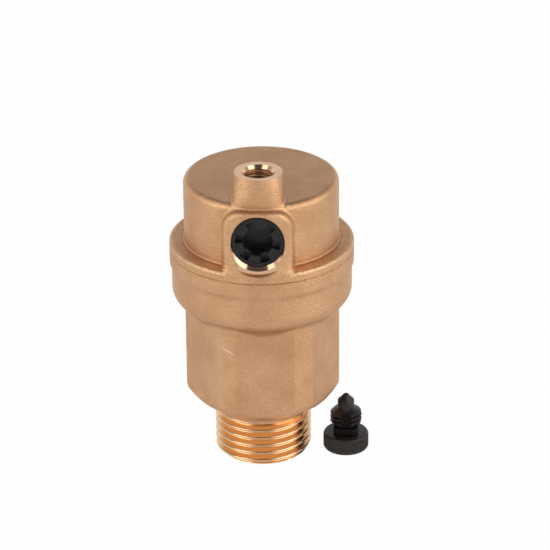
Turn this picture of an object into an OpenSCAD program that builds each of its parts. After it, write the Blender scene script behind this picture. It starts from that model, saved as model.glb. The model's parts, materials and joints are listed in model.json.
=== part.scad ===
// Automatic air release valve with a float, a side nozzle and a top vent port.
// The origin is the centre of the inlet thread's end face, +Z is up and the valve pad faces -Y.
// The vent screw stands beside the valve, head down, as it does when it has been taken off.

/* [Inlet] */
// Outside diameter of the inlet pipe thread (G 1/2)
inlet_thread_d = 20.955; // [19:0.005:22]
// Length of the inlet thread
inlet_thread_len = 9.4; // [7:0.1:14]
// Chamfer on the thread's end
inlet_chamfer = 1.15; // [0.4:0.05:1.6]
// Diameter of the inlet bore
inlet_bore_d = 13; // [10:0.1:14]
// Height of the plain neck above the thread
neck_h = 2; // [1:0.1:4]
// How far the neck stands out past the thread, per side
neck_proud = 0.4; // [0.1:0.05:0.8]

/* [Body] */
// Width of the spanner hexagon across its flats
hex_af = 31; // [30:0.1:32.5]
// Diameter that the hexagon's corners are turned to
hex_corner_d = 33.4; // [33:0.1:35]
// Height of the hexagon from the shoulder's edge to the collar
hex_h = 20.8; // [16:0.1:26]
// Angle at which the hexagon stands to the valve pad once the cover is tight
hex_turn = 4.8; // [-30:0.1:30]
// Slope of the shoulder under the hexagon
shoulder_angle = 35; // [28:1:42]
// Rounding between the shoulder and the hexagon's corners
shoulder_round = 1.7; // [0.5:0.1:3]
// Diameter of the collar
collar_d = 38.84; // [36.5:0.02:43.5]
// Wall of the collar round the thread that joins the cover to the body
collar_wall = 1.92; // [1.6:0.02:2.4]
// Height of the collar up to the rim
collar_h = 8.6; // [7:0.1:12]
// Rounding of the collar's lower edge
collar_round = 3.4; // [1:0.1:4.5]
// How far the rim, shared by the body and the cover's flange, stands out past the collar, per side
rim_proud = 0.44; // [0.2:0.02:1.2]
// Height of the body's rim
rim_h = 3.74; // [3.2:0.02:5]

/* [Chamber] */
// Diameter of the float chamber
chamber_d = 27.2; // [26:0.1:27.6]
// Wall under the sloping chamber floor
floor_wall = 2.2; // [1.5:0.1:3]
// Number of ribs that the float comes down on
floor_ribs = 4; // [3:1:6]
// Thickness of one floor rib
floor_rib_t = 1.6; // [1:0.1:2.5]
// Height of the ribs' top above the floor's outer edge
floor_rib_rise = 0.6; // [0.3:0.1:1.5]

/* [Cover] */
// Diameter of the cover's dome
cover_d = 33.28; // [32.4:0.02:34.4]
// Height of the cover above the parting face
cover_h = 16.4; // [15.6:0.1:20]
// Side wall of the dome
cover_wall = 2.1; // [1.6:0.1:2.6]
// Thickness of the roof
roof_t = 2.2; // [1.6:0.1:3]
// Rounding of the dome's top edge
cover_edge_round = 1.4; // [0.5:0.1:2.5]
// Height of the flange above the parting face
flange_h = 2.15; // [2:0.05:3]
// Rounding of the flange's edge
flange_round = 1.9; // [0.5:0.05:1.9]
// Fillet where the dome stands on the flange
foot_fillet = 0.8; // [0.3:0.1:1.4]
// Depth of the threaded skirt below the parting face
skirt_h = 8.4; // [6:0.1:9]
// Wall of the skirt
skirt_wall = 2.25; // [1.8:0.05:2.6]

/* [Seals] */
// Section of the O-ring under the cover's flange
cover_ring_s = 1.6; // [1.2:0.1:1.8]
// Section of the two O-rings on the insert
insert_ring_s = 1.15; // [1:0.05:1.3]
// Room left round each O-ring in its groove
ring_room = 0.025; // [0.01:0.005:0.05]

/* [Vent boss] */
// Diameter of the boss at its top
boss_d = 10.26; // [9.4:0.02:11]
// Widening of the boss from its top to the roof
boss_draft = 0.3; // [0:0.05:0.6]
// Height of the boss above the roof
boss_h = 6; // [4:0.1:9]
// How far the boss's front stands past the dome's wall
boss_proud = 0.1; // [0:0.05:0.4]
// Nominal diameter of the vent thread (M7)
vent_thread_d = 7; // [6:0.1:7.4]
// Pitch of the vent thread
vent_pitch = 1; // [0.75:0.25:1]
// Depth of the vent thread
vent_thread_h = 5.4; // [4:0.1:5.6]
// Chamfer at the mouth of the vent thread
vent_chamfer = 0.4; // [0.2:0.05:0.6]
// Diameter of the plain bore under the thread
vent_pin_bore_d = 4; // [3.8:0.1:4.6]
// Diameter of the port between the vent seat and the side bore
vent_port_d = 2; // [1.4:0.1:2.2]

/* [Valve pad] */
// Width of the pad
pad_w = 15.2; // [14.9:0.1:17]
// How far the pad's face stands past the dome's wall
pad_proud = 2.16; // [1.6:0.02:2.6]
// Height of the pad's top above the side bore's axis
pad_top = 6.4; // [6.3:0.05:7]
// Radius of the pad's upper corners
pad_corner = 6; // [2.5:0.1:7]
// Rounding of the pad's front edge
pad_round = 1; // [0.3:0.1:1.4]
// Height of the side bore's axis above the parting face
side_bore_h = 8.75; // [8.5:0.05:9.2]
// Diameter of the side bore
side_bore_d = 11.5; // [11.1:0.05:11.7]
// Chamfer at the mouth of the side bore
side_bore_chamfer = 0.4; // [0.1:0.05:0.5]
// Diameter of the spot face round the mouth
spot_face_d = 14.7; // [13.2:0.1:15.4]
// Depth of the spot face below the pad
spot_face_depth = 0.2; // [0.1:0.05:0.4]

/* [Insert] */
// Depth of the insert's face below the spot face
insert_recess = 0.95; // [0.6:0.05:2.3]
// Radial clearance of the insert in the side bore
insert_clear = 0.1; // [0.03:0.01:0.15]
// Width of the rim round the key socket
socket_rim = 0.65; // [0.5:0.05:0.8]
// Diameter inside the key socket's teeth
socket_d = 7; // [5.8:0.1:7.2]
// Depth of the socket inside the teeth
socket_depth = 4.2; // [2:0.1:4.4]
// Number of teeth in the key socket
socket_teeth = 6; // [4:1:8]
// Share of the socket's circle that its notches take
socket_notch = 0.42; // [0.3:0.01:0.6]
// Depth of the notches between the teeth
socket_notch_depth = 1.5; // [1:0.1:1.7]
// Angle of one notch from straight down
socket_turn = 20; // [0:1:59]
// Width of the air groove round the insert
air_groove_w = 2.4; // [2:0.1:2.6]
// Depth of the air groove
air_groove_depth = 1.35; // [0.8:0.05:1.6]
// Width of the lands beside the insert's grooves
insert_land = 0.5; // [0.4:0.05:0.6]
// Diameter of the air channel along the insert
air_channel_d = 1.4; // [1:0.1:1.8]
// Diameter of the orifice in the nozzle
nozzle_orifice_d = 1.2; // [0.8:0.1:1.6]
// Diameter of the nozzle's shank
nozzle_d = 4; // [3.4:0.1:4.6]
// Length of the nozzle's shank
nozzle_len = 2; // [1.4:0.1:2.6]

/* [Float and lever] */
// Travel of the float between the open and the shut valve
float_travel = 3.4; // [2:0.1:4]
// Gap between the float and the chamber wall
float_gap = 1.4; // [0.8:0.1:2]
// Length of the float
float_len = 28; // [22:0.1:28.5]
// Wall of the float
float_wall = 1.2; // [0.8:0.1:1.8]
// Rounding of the float's top edge
float_round = 3; // [1:0.1:4]
// Thickness of the float's base at its lip
float_lip = 0.8; // [0.5:0.1:1.5]
// Depth to which the float's base plugs into the shell
float_plug = 1.6; // [1:0.1:3]
// Diameter of the link's wire
link_wire_d = 1.2; // [0.8:0.05:1.4]
// Room for the link's wire in the lever's slots, per side
link_room = 0.15; // [0.1:0.01:0.3]
// Distance of the lever's pivot below the nozzle
lever_drop = 6; // [5.6:0.1:6.2]
// Length of the lever's float arm
lever_arm = 7; // [6:0.1:8]
// Thickness of a lever cheek
cheek_t = 1.2; // [0.8:0.1:1.4]
// Thickness of the web that carries the seal pad
web_t = 1.6; // [1.4:0.1:2]
// Diameter of the seal pad
seal_d = 4.4; // [3.6:0.1:4.6]
// Thickness of the seal pad, half of it sunk in the web
seal_t = 1.6; // [1.2:0.1:2]
// Diameter of the lever's pin
lever_pin_d = 1.6; // [1.2:0.05:1.8]
// Diameter of the spring's wire
spring_wire_d = 0.45; // [0.3:0.05:0.5]
// Number of whole turns in the spring
spring_turns = 4; // [2:1:5]

/* [Vent screw] */
// Gap between the inlet thread and the head of the screw that stands beside it
screw_gap = 2.75; // [1.5:0.05:25]
// Where the screw stands, along Y from the valve's axis
screw_y = -0.4; // [-20:0.1:20]
// Diameter of the screw's head
screw_head_d = 9.95; // [8.6:0.05:12]
// Height of the screw's head
screw_head_h = 3.7; // [2.5:0.1:5]
// Number of grip ribs round the head
screw_ribs = 56; // [30:1:72]
// Depth of the grip ribs
screw_rib_depth = 0.22; // [0.1:0.02:0.3]
// Length of the shank from the head to the pin
screw_shank_h = 4.7; // [4:0.1:5.4]
// Plain neck between the head and the thread
screw_neck_h = 1.9; // [0.3:0.1:2.2]
// Width of the air slots along the thread
screw_slot_w = 2.3; // [1.2:0.1:2.6]
// Diameter of the screw's pin
screw_pin_d = 3.63; // [3:0.01:3.7]
// Length of the screw's pin
screw_pin_h = 3; // [2:0.1:4]
// Height of the screw's conical tip
screw_tip_h = 1.65; // [1:0.05:2.2]

/* [Hidden] */
$fn = 96;

// Small clearances
touch = 0.02;      // between pieces that are pressed together
thread_gap = 0.05; // between the plain cylinders that stand for mating threads
run = 0.05;        // between a pin and what turns on it
side_gap = 0.3;    // beside a piece that swings
over = 1;          // how far a cutter runs past a face

// Radii of the outside
inlet_r = inlet_thread_d / 2;
neck_r = inlet_r + neck_proud;
corner_r = hex_corner_d / 2;
collar_r = collar_d / 2;
rim_r = collar_r + rim_proud;
cover_r = cover_d / 2;
boss_r = boss_d / 2;
boss_foot_r = boss_r + boss_draft;

// Heights of the outside, from the thread's end face
neck_z = inlet_thread_len;
shoulder_z = neck_z + neck_h;
hex_z = shoulder_z + (corner_r - neck_r) * tan(shoulder_angle);
collar_z = hex_z + hex_h;
step_z = collar_z + collar_h;
parting_z = step_z + rim_h;
ledge_z = parting_z + flange_h;
top_z = parting_z + cover_h;
boss_top_z = top_z + boss_h;

// Chamber and cover joint
bore_r = inlet_bore_d / 2;
chamber_r = chamber_d / 2;
joint_r = collar_r - collar_wall;
skirt_r = joint_r - thread_gap;
skirt_z = parting_z - skirt_h;
skirt_bore_r = skirt_r - skirt_wall;
dome_bore_r = cover_r - cover_wall;
roof_z = top_z - roof_t;
cover_ring_seat_h = cover_ring_s + 2 * ring_room + 0.15;
cover_ring_r = joint_r + cover_ring_s / 6;
cover_ring_in_r = cover_ring_r - cover_ring_s / 2 - ring_room;
cover_ring_out_r = cover_ring_r + cover_ring_s / 2 + ring_room;
cover_ring_z = parting_z - cover_ring_seat_h / 2;
rib_top_z = floor_at(chamber_r) + floor_rib_rise;

// Vent boss, measured from the valve's axis towards -Y
boss_y = cover_r - boss_r + boss_proud;
tap_r = (vent_thread_d - 1.0825 * vent_pitch) / 2;
vent_seat_h = (vent_pin_bore_d - vent_port_d) / 2;

// Side bore and insert, measured from the valve's axis towards -Y
spigot_step = 1.35;   // from the side bore in to the spigot at the insert's inner end
spigot_proud = 1;     // from the block's face to the spigot's end
insert_stop_t = 0.7;  // wall that the insert stops against
block_wall = 2.05;    // wall of the valve block round the side bore
pad_y = cover_r + pad_proud;
spot_y = pad_y - spot_face_depth;
side_bore_r = side_bore_d / 2;
side_bore_z = parting_z + side_bore_h;
insert_r = side_bore_r - insert_clear;
insert_y = spot_y - insert_recess;
ring_groove_w = insert_ring_s + 0.15;
ring_groove_r = side_bore_r - insert_ring_s - 2 * ring_room;
insert_ring_r = ring_groove_r + ring_room + insert_ring_s / 2;
front_groove_y = boss_y + air_groove_w / 2 + insert_land + ring_groove_w / 2;
rear_groove_y = boss_y - air_groove_w / 2 - insert_land - ring_groove_w / 2;
insert_stop_y = rear_groove_y - ring_groove_w / 2 - insert_land;
block_y = insert_stop_y - insert_stop_t;
spigot_y = block_y - spigot_proud;
spigot_r = side_bore_r - spigot_step;
nozzle_r = nozzle_d / 2;
nozzle_flange_t = 0.4;
nozzle_cone_h = 0.4;
nozzle_rim = 0.6;
nozzle_lip = 0.35;
nozzle_step = 0.4;
nozzle_tip_y = spigot_y - nozzle_flange_t - nozzle_cone_h;
block_r = side_bore_r + block_wall;

// Lever: the pivot lies under the nozzle and the web stands upright when the valve is shut
seal_gap = 0.05;
pivot_y = nozzle_tip_y - seal_gap - seal_t / 2 - web_t / 2;
pivot_z = side_bore_z - lever_drop;
half_swing = asin(float_travel / 2 / lever_arm);
swing = 2 * half_swing;
pin_r = lever_pin_d / 2;
hub_wall = 1.1;
hub_r = pin_r + hub_wall;
tip_wall = 0.75;
tip_r = link_wire_d / 2 + link_room + tip_wall;
seal_margin = 0.4;
cheek_in = seal_d / 2 + seal_margin;
cheek_out = cheek_in + cheek_t;
ear_t = 1.6;
ear_in = cheek_out + side_gap;
ear_out = ear_in + ear_t;
web_h = seal_d + 2 * seal_margin;
clip_t = 0.5;
clip_w = 1;
pin_tail = 0.5;
pin_half = ear_out + clip_t + pin_tail;

// Link and float
wire_r = link_wire_d / 2;
link_side_gap = 0.5;
link_boss_wall = 0.7;
link_x = cheek_out + wire_r + link_side_gap;
link_y = -pivot_y + lever_arm * (1 + cos(half_swing)) / 2;
link_z = pivot_z - float_travel / 2;
link_slot = lever_arm * (1 - cos(half_swing)) / 2 + 0.1;
float_r = chamber_r - float_gap;
float_z = rib_top_z + side_gap;
float_top_z = float_z + float_len;
link_boss_r = wire_r + link_boss_wall;
link_boss_h = 1.5;

// Vent screw
screw_x = inlet_r + screw_gap + screw_head_d / 2;
screw_thread_r = vent_thread_d / 2 - 0.05;
screw_core_r = tap_r - 0.3;
screw_pin_z = screw_head_h + screw_shank_h;

// Height of the sloping chamber floor at a radius
function floor_at(r) = shoulder_z + (r - neck_r) * tan(shoulder_angle) + floor_wall / cos(shoulder_angle);

// Quarter of a disc in the corner between +X and +Y
module quarter_disc(r) {
    intersection() {
        circle(r);
        square(r);
    }
}

// Half section of a disc with rounded outer edges
module disc_section(r, z0, z1, top = 0, bottom = 0) {
    translate([0, z0 + bottom]) square([r, z1 - z0 - top - bottom]);
    if (top > 0) {
        translate([0, z1 - top]) square([r - top, top]);
        translate([r - top, z1 - top]) quarter_disc(top);
    }
    if (bottom > 0) {
        translate([0, z0]) square([r - bottom, bottom]);
        translate([r - bottom, z0 + bottom]) mirror([0, 1]) quarter_disc(bottom);
    }
}

// A cylinder along -Y on the side bore's axis, between two distances from the valve's axis
module along_bore(r, y0, y1, r1 = undef) {
    translate([0, -y0, side_bore_z]) rotate([90, 0, 0])
        cylinder(r1 = r, r2 = is_undef(r1) ? r : r1, h = y1 - y0);
}

// A ring of round section lying on the side bore's axis
module bore_ring(ring_r, section, y) {
    translate([0, -y, side_bore_z]) rotate([90, 0, 0])
        rotate_extrude() translate([ring_r, 0]) circle(d = section);
}

// A plate in the Y-Z plane, from x0 to x1, with its outline given as Y and Z
module side_plate(x0, x1) {
    translate([x0, 0, 0]) rotate([90, 0, 90]) linear_extrude(x1 - x0) children();
}

// Outline of an arm that leaves a hub and narrows to a round tip, its sides just inside both
module arm_outline(length, angle, r0, r1) {
    inset = 0.06;
    lean = asin((r0 - r1) / length);
    side = [sin(lean), cos(lean)];
    other_side = [sin(lean), -cos(lean)];
    rotate(angle) {
        translate([length, 0]) circle(r1);
        polygon([
            (r0 - inset) * side,
            [length, 0] + (r1 - inset) * side,
            [length, 0] + (r1 - inset) * other_side,
            (r0 - inset) * other_side
        ]);
    }
}

// Outline of a slot with round ends, along X
module slot_outline(length, r) {
    square([length, 2 * r], center = true);
    for (end = [0, 1]) mirror([end, 0]) translate([length / 2, 0]) intersection() {
        circle(r);
        translate([0, -r]) square([r, 2 * r]);
    }
}

// Tube of round section swept along points that lie nearly square to one axis
module swept_tube(points, r, axis, sides = 8) {
    last = len(points) - 1;
    function heading(i) = points[min(i + 1, last)] - points[max(i - 1, 0)];
    function ring_at(i) =
        let (t = heading(i) / norm(heading(i)), c = cross(t, axis), u = c / norm(c), v = cross(t, u))
        [for (k = [0:sides - 1]) points[i] + r * (cos(360 * k / sides) * u + sin(360 * k / sides) * v)];
    polyhedron(
        points = [for (i = [0:last]) each ring_at(i)],
        faces = concat(
            [[for (k = [0:sides - 1]) k]],
            [for (i = [0:last - 1], k = [0:sides - 1])
                let (a = i * sides + k, b = i * sides + (k + 1) % sides)
                [a, a + sides, b + sides, b]],
            [[for (k = [sides - 1:-1:0]) last * sides + k]]
        )
    );
}

// Turns the lever's parts from the shut valve, as they are drawn, to the float's lowest place
module at_lever() {
    translate([0, -pivot_y, pivot_z]) rotate([-swing, 0, 0]) children();
}

// Lower body: thread, neck, sloping shoulder and hexagon with turned corners
module lower_body() {
    shy = shoulder_round * tan((90 - shoulder_angle) / 2);
    intersection() {
        rotate_extrude() {
            polygon([
                [0, 0],
                [inlet_r - inlet_chamfer, 0],
                [inlet_r, inlet_chamfer],
                [inlet_r, neck_z],
                [neck_r, neck_z + neck_proud],
                [neck_r, shoulder_z],
                [corner_r - shy * cos(shoulder_angle), hex_z - shy * sin(shoulder_angle)],
                [corner_r, hex_z + shy],
                [corner_r, collar_z + collar_round],
                [0, collar_z + collar_round]
            ]);
            translate([corner_r - shoulder_round, hex_z + shy]) circle(shoulder_round);
        }
        rotate(hex_turn) cylinder(r = hex_af / 2 / cos(30), h = step_z, $fn = 6);
    }
}

// Collar with a rounded lower edge, and the rim that the cover closes on
module collar_and_rim() {
    rotate_extrude() {
        disc_section(collar_r, collar_z, step_z, bottom = collar_round);
        polygon([
            [0, step_z],
            [collar_r, step_z],
            [rim_r, step_z + rim_r - collar_r],
            [rim_r, parting_z],
            [0, parting_z]
        ]);
    }
}

// Float chamber, threaded mouth and O-ring seat, as one cutter
module chamber_cut() {
    translate([0, 0, -over]) cylinder(r = bore_r, h = floor_at(bore_r) + over + 0.1);
    rotate_extrude() polygon([
        [0, floor_at(bore_r)],
        [bore_r, floor_at(bore_r)],
        [chamber_r, floor_at(chamber_r)],
        [chamber_r, skirt_z - side_gap],
        [joint_r, skirt_z - side_gap],
        [joint_r, parting_z - cover_ring_seat_h],
        [cover_ring_out_r, parting_z - cover_ring_seat_h],
        [cover_ring_out_r, parting_z + over],
        [0, parting_z + over]
    ]);
}

// Ribs on the chamber floor that keep the float off the inlet
module floor_rib_set() {
    inner_r = bore_r + 0.4;
    outer_r = chamber_r + 0.3;
    root = 0.3;
    for (i = [0:floor_ribs - 1])
        rotate(360 / floor_ribs * (i + 0.5)) rotate([90, 0, 0])
            linear_extrude(floor_rib_t, center = true) polygon([
                [inner_r, floor_at(inner_r) - root],
                [outer_r, floor_at(outer_r) - root],
                [outer_r, rib_top_z],
                [inner_r, rib_top_z]
            ]);
}

module valve_body() {
    color([0.78, 0.62, 0.44]) {
        difference() {
            union() {
                lower_body();
                collar_and_rim();
            }
            chamber_cut();
        }
        floor_rib_set();
    }
}

// Dome, flange and threaded skirt of the cover, hollow
module cover_shell() {
    difference() {
        rotate_extrude() {
            disc_section(rim_r, parting_z, ledge_z, top = flange_round);
            disc_section(cover_r, parting_z, top_z, top = cover_edge_round);
            translate([cover_r, ledge_z]) difference() {
                square(foot_fillet);
                translate([foot_fillet, foot_fillet]) circle(foot_fillet);
            }
            translate([0, skirt_z]) square([skirt_r, skirt_h - cover_ring_seat_h]);
            translate([0, parting_z - cover_ring_seat_h]) square([cover_ring_in_r, cover_ring_seat_h]);
        }
        rotate_extrude() {
            disc_section(dome_bore_r, skirt_z - over, roof_z, top = cover_edge_round);
            translate([0, skirt_z - over]) square([skirt_bore_r, skirt_h + over]);
        }
    }
}

// Arched pad on the dome's front, its front edge rounded in steps of the rounding's arc
module valve_pad() {
    half_w = pad_w / 2;
    top = side_bore_z + pad_top;
    root_y = dome_bore_r + 0.3;
    steps = 4;
    module arch(inset) {
        translate([-half_w + inset, parting_z]) square([2 * (half_w - inset), 1]);
        for (side = [-1, 1])
            translate([side * (half_w - pad_corner), top - pad_corner]) circle(pad_corner - inset, $fn = 32);
    }
    intersection() {
        hull() for (i = [0:steps])
            translate([0, -root_y, 0]) rotate([90, 0, 0])
                linear_extrude(pad_y - root_y - pad_round * (1 - sin(90 * i / steps)))
                    arch(pad_round * (1 - cos(90 * i / steps)));
        // Nothing of the pad reaches into the hollow dome
        difference() {
            translate([-pad_w, -2 * pad_y, parting_z]) cube([2 * pad_w, 2 * pad_y, cover_h]);
            translate([0, 0, parting_z - over]) cylinder(r = root_y, h = roof_z - parting_z + over);
        }
    }
}

// Boss for the vent screw, with a little draft
module vent_boss() {
    foot_z = roof_z;
    slope = boss_draft / boss_h;
    translate([0, -boss_y, foot_z])
        cylinder(r1 = boss_r + slope * (boss_top_z - foot_z), r2 = boss_r, h = boss_top_z - foot_z);
}

// Block inside the dome round the side bore, and the two ears that carry the lever's pin
module valve_block() {
    base_z = pivot_z - hub_r;
    intersection() {
        union() {
            along_bore(block_r, block_y, pad_y);
            translate([-ear_out, -pad_y, base_z])
                cube([2 * ear_out, pad_y - block_y, side_bore_z - base_z]);
        }
        translate([0, 0, parting_z])
            cylinder(r = cover_r - cover_wall / 2, h = top_z - roof_t / 2 - parting_z);
    }
    for (side = [0, 1]) mirror([side, 0, 0]) side_plate(ear_in, ear_out) {
        translate([-pivot_y, pivot_z]) circle(hub_r);
        translate([-block_y - 0.5, base_z]) square([block_y + 0.5 - pivot_y, 2 * hub_r]);
    }
}

// Side bore with its chamfered mouth, spot face and stop
module side_bore_cut() {
    mouth_r = side_bore_r + side_bore_chamfer;
    along_bore(side_bore_r, insert_stop_y - 0.05, pad_y + over);
    along_bore(side_bore_r, spot_y - side_bore_chamfer, spot_y, mouth_r);
    along_bore(spot_face_d / 2, spot_y, pad_y + 2 * over);
    along_bore(spigot_r + touch, block_y - over, insert_stop_y);
}

// Vent hole: tapped part, plain bore, conical seat and port into the side bore
module vent_cut() {
    thread_z = boss_top_z - vent_thread_h;
    seat_z = side_bore_z + side_bore_r + 0.4;
    translate([0, -boss_y, 0]) {
        translate([0, 0, thread_z]) cylinder(r = tap_r, h = vent_thread_h + over);
        translate([0, 0, boss_top_z - vent_chamfer])
            cylinder(r1 = tap_r, r2 = tap_r + vent_chamfer + over, h = vent_chamfer + over);
        translate([0, 0, seat_z + vent_seat_h])
            cylinder(d = vent_pin_bore_d, h = thread_z - seat_z - vent_seat_h + 0.1);
        translate([0, 0, seat_z]) cylinder(d1 = vent_port_d, d2 = vent_pin_bore_d, h = vent_seat_h);
        translate([0, 0, side_bore_z]) cylinder(d = vent_port_d, h = seat_z - side_bore_z + 0.1);
    }
}

module cover() {
    color([0.80, 0.64, 0.45]) difference() {
        union() {
            cover_shell();
            valve_pad();
            vent_boss();
            valve_block();
        }
        side_bore_cut();
        vent_cut();
        translate([-ear_out - over, -pivot_y, pivot_z]) rotate([0, 90, 0])
            cylinder(r = pin_r + touch, h = 2 * (ear_out + over));
    }
}

module cover_o_ring() {
    color([0.09, 0.09, 0.1]) translate([0, 0, cover_ring_z])
        rotate_extrude() translate([cover_ring_r, 0]) circle(d = cover_ring_s);
}

// Notches between the teeth of the key socket
module socket_notches() {
    inner_r = socket_d / 2 - 0.3;
    notch_r = insert_r - socket_rim;
    pitch_a = 360 / socket_teeth;
    notch_a = pitch_a * socket_notch;
    translate([0, -(insert_y - socket_notch_depth), side_bore_z]) rotate([90, 0, 0])
        for (i = [0:socket_teeth - 1])
            rotate(socket_turn - 90 - notch_a / 2 + pitch_a * i) rotate_extrude(angle = notch_a)
                translate([inner_r, 0]) square([notch_r - inner_r, socket_notch_depth + over]);
}

module valve_insert() {
    color([0.14, 0.13, 0.13]) difference() {
        union() {
            along_bore(insert_r, insert_stop_y, insert_y);
            along_bore(spigot_r, spigot_y, insert_stop_y + 0.1);
        }
        along_bore(socket_d / 2, insert_y - socket_depth, insert_y + over);
        socket_notches();
        // Grooves for the two O-rings and for the air
        for (groove = [[front_groove_y, ring_groove_w, ring_groove_r],
                       [rear_groove_y, ring_groove_w, ring_groove_r],
                       [boss_y, air_groove_w, side_bore_r - air_groove_depth]])
            difference() {
                along_bore(side_bore_r + over, groove[0] - groove[1] / 2, groove[0] + groove[1] / 2);
                along_bore(groove[2], groove[0] - groove[1], groove[0] + groove[1]);
            }
        // Air channel from the nozzle, and the cross hole into the air groove
        along_bore(air_channel_d / 2, spigot_y - over, boss_y + air_channel_d / 2);
        translate([0, -boss_y, side_bore_z - side_bore_r]) cylinder(d = air_channel_d, h = side_bore_d);
        // Socket for the nozzle's shank
        along_bore(nozzle_r, spigot_y - over, spigot_y + nozzle_len);
    }
}

module valve_nozzle() {
    cone_y = nozzle_tip_y + nozzle_cone_h;
    color([0.83, 0.70, 0.45]) difference() {
        union() {
            along_bore(nozzle_r - touch, spigot_y - 0.1, spigot_y + nozzle_len - 0.05);
            along_bore(nozzle_r + nozzle_rim, cone_y, spigot_y);
            along_bore(nozzle_orifice_d / 2 + nozzle_lip, nozzle_tip_y, cone_y, nozzle_r - nozzle_step);
        }
        along_bore(nozzle_orifice_d / 2, nozzle_tip_y - over, spigot_y + nozzle_len + over);
    }
}

module insert_front_o_ring() {
    color([0.09, 0.09, 0.1]) bore_ring(insert_ring_r, insert_ring_s, front_groove_y);
}

module insert_rear_o_ring() {
    color([0.09, 0.09, 0.1]) bore_ring(insert_ring_r, insert_ring_s, rear_groove_y);
}

// Bell-crank lever: two cheeks, a web for the seal pad and slotted ends for the float's link
module float_lever() {
    web_low = lever_drop - web_h / 2;
    color([0.72, 0.73, 0.74]) at_lever() difference() {
        union() {
            for (side = [0, 1]) mirror([side, 0, 0]) side_plate(cheek_in, cheek_out) {
                circle(hub_r);
                arm_outline(lever_arm, half_swing, hub_r, tip_r);
                arm_outline(lever_drop, 90, hub_r, web_t / 2 - 0.2);
            }
            translate([-cheek_out, -web_t / 2, web_low]) cube([2 * cheek_out, web_t, web_h]);
        }
        // Bearing for the pin
        translate([-cheek_out - over, 0, 0]) rotate([0, 90, 0])
            cylinder(r = pin_r + run, h = 2 * (cheek_out + over));
        // Slots for the link's wire
        side_plate(-cheek_out - over, cheek_out + over) rotate(half_swing) translate([lever_arm, 0])
            slot_outline(2 * link_slot, wire_r + link_room);
        // Recess for the seal pad
        translate([0, -web_t / 2 - over, lever_drop]) rotate([-90, 0, 0])
            cylinder(r = seal_d / 2 + touch, h = seal_t / 2 + over);
    }
}

module seal_pad() {
    color([0.11, 0.11, 0.12]) at_lever()
        translate([0, -web_t / 2 - seal_t / 2, lever_drop]) rotate([-90, 0, 0]) cylinder(d = seal_d, h = seal_t);
}

module lever_pin() {
    groove_x = ear_out + touch;
    color([0.76, 0.77, 0.78]) translate([0, -pivot_y, pivot_z]) difference() {
        translate([-pin_half, 0, 0]) rotate([0, 90, 0]) cylinder(r = pin_r, h = 2 * pin_half);
        for (side = [0, 1]) mirror([side, 0, 0]) translate([groove_x, 0, 0]) rotate([0, 90, 0]) difference() {
            cylinder(r = pin_r + over, h = clip_t + 2 * touch);
            translate([0, 0, -over]) cylinder(r = pin_r * 0.75, h = clip_t + 2 * over);
        }
    }
}

// Two open clips that hold the pin in the ears
module pin_clips() {
    clip_x = ear_out + 2 * touch;
    color([0.70, 0.71, 0.73])
        for (side = [0, 1]) mirror([side, 0, 0])
            translate([clip_x, -pivot_y, pivot_z]) rotate([0, 90, 0]) difference() {
                cylinder(r = pin_r + clip_w, h = clip_t);
                translate([0, 0, -over]) cylinder(r = pin_r * 0.75 + touch, h = clip_t + 2 * over);
                translate([0, -pin_r * 0.55, -over]) cube([2 * hub_r, pin_r * 1.1, clip_t + 2 * over]);
            }
}

// Torsion spring round the pin: one leg on the valve block, one behind the lever's web
module lever_spring() {
    coil_r = pin_r + 0.3 + spring_wire_d / 2;
    step = 18;
    first = -90;
    last = 360 * spring_turns - swing;
    pitch = spring_wire_d + 0.15;
    coil_half = pitch * (last - first) / 720;
    low_leg = block_y - pivot_y - 0.1;
    high_leg = lever_drop + web_h / 4;
    color([0.78, 0.79, 0.80]) translate([0, -pivot_y, pivot_z]) swept_tube(
        concat(
            [[-coil_half, -low_leg, -coil_r]],
            [for (i = [0:ceil((last - first) / step)])
                let (a = min(first + i * step, last))
                [-coil_half + pitch * (a - first) / 360, coil_r * cos(a), coil_r * sin(a)]],
            [[coil_half, coil_r * cos(last) - high_leg * sin(last), coil_r * sin(last) + high_leg * cos(last)]]
        ),
        spring_wire_d / 2,
        [1, 0, 0]
    );
}

// Wire stirrup on the float's top, bent over at both ends, its bar through the lever's slots
module float_link() {
    foot_z = float_top_z + 0.3;
    bend_r = wire_r + 0.3;
    bend = [for (a = [0:15:90]) [link_x - bend_r + bend_r * cos(a), 0, link_z - bend_r + bend_r * sin(a)]];
    half = concat([[link_x, 0, foot_z]], bend);
    other_half = [for (i = [len(half) - 1:-1:0]) [-half[i].x, 0, half[i].z]];
    color([0.74, 0.75, 0.76]) translate([0, link_y, 0])
        swept_tube(concat(half, other_half), wire_r, [0, 1, 0], sides = 16);
}

// Hollow float, open below, with two sockets for the link's feet
module float_shell() {
    color([0.88, 0.88, 0.84]) difference() {
        union() {
            rotate_extrude() disc_section(float_r, float_z + float_lip, float_top_z, top = float_round);
            for (side = [-1, 1]) translate([side * link_x, link_y, float_top_z - float_wall / 2])
                cylinder(r = link_boss_r, h = link_boss_h + float_wall / 2);
        }
        rotate_extrude() disc_section(float_r - float_wall, float_z - over, float_top_z - float_wall,
                                      top = max(float_round - float_wall, 0.2));
        for (side = [-1, 1]) translate([side * link_x, link_y, float_top_z + 0.3])
            cylinder(r = wire_r + touch, h = link_boss_h);
    }
}

// Base welded into the float's open end
module float_base() {
    color([0.84, 0.84, 0.80]) translate([0, 0, float_z]) {
        cylinder(r = float_r, h = float_lip);
        cylinder(r = float_r - float_wall - touch, h = float_lip + float_plug);
    }
}

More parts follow.
